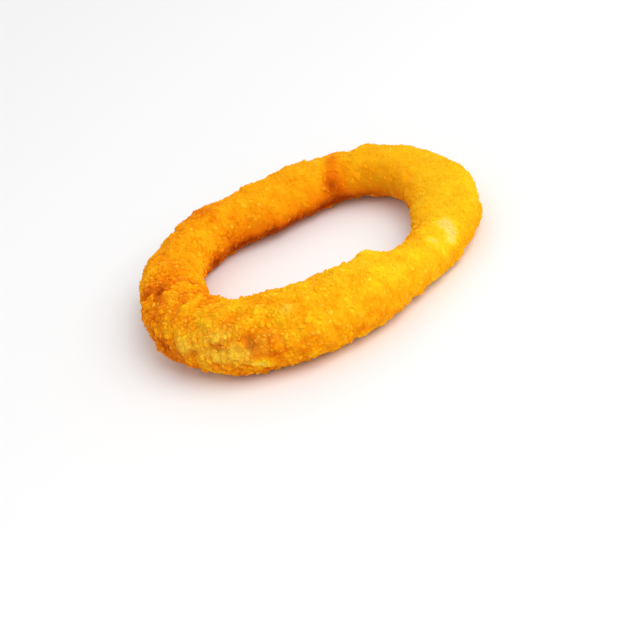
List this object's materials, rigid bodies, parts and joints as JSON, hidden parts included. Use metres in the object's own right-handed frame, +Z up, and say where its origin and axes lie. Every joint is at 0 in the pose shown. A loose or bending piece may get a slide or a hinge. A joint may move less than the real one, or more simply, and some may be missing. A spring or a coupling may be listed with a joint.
{
  "type": "onion ring",
  "caption": "Fried onion ring in a rough coat of golden breadcrumbs: a closed, slightly oval ring of uneven rounded section, lying flat, with an open hole through its middle.",
  "frame": {"origin": "middle of the ring's outline, on the surface it lies on", "axes": "+Z up through the hole; the crease across the ring lies 61 degrees round from +X towards +Y"},
  "size_m": [0.081, 0.078, 0.0157],
  "materials": {
    "crumb_crust": "golden fried breadcrumbs, rough and matt with a faint sheen of oil"
  },
  "bodies": {
    "root": {"onion_ring": "crumb_crust"}
  },
  "joints": []
}
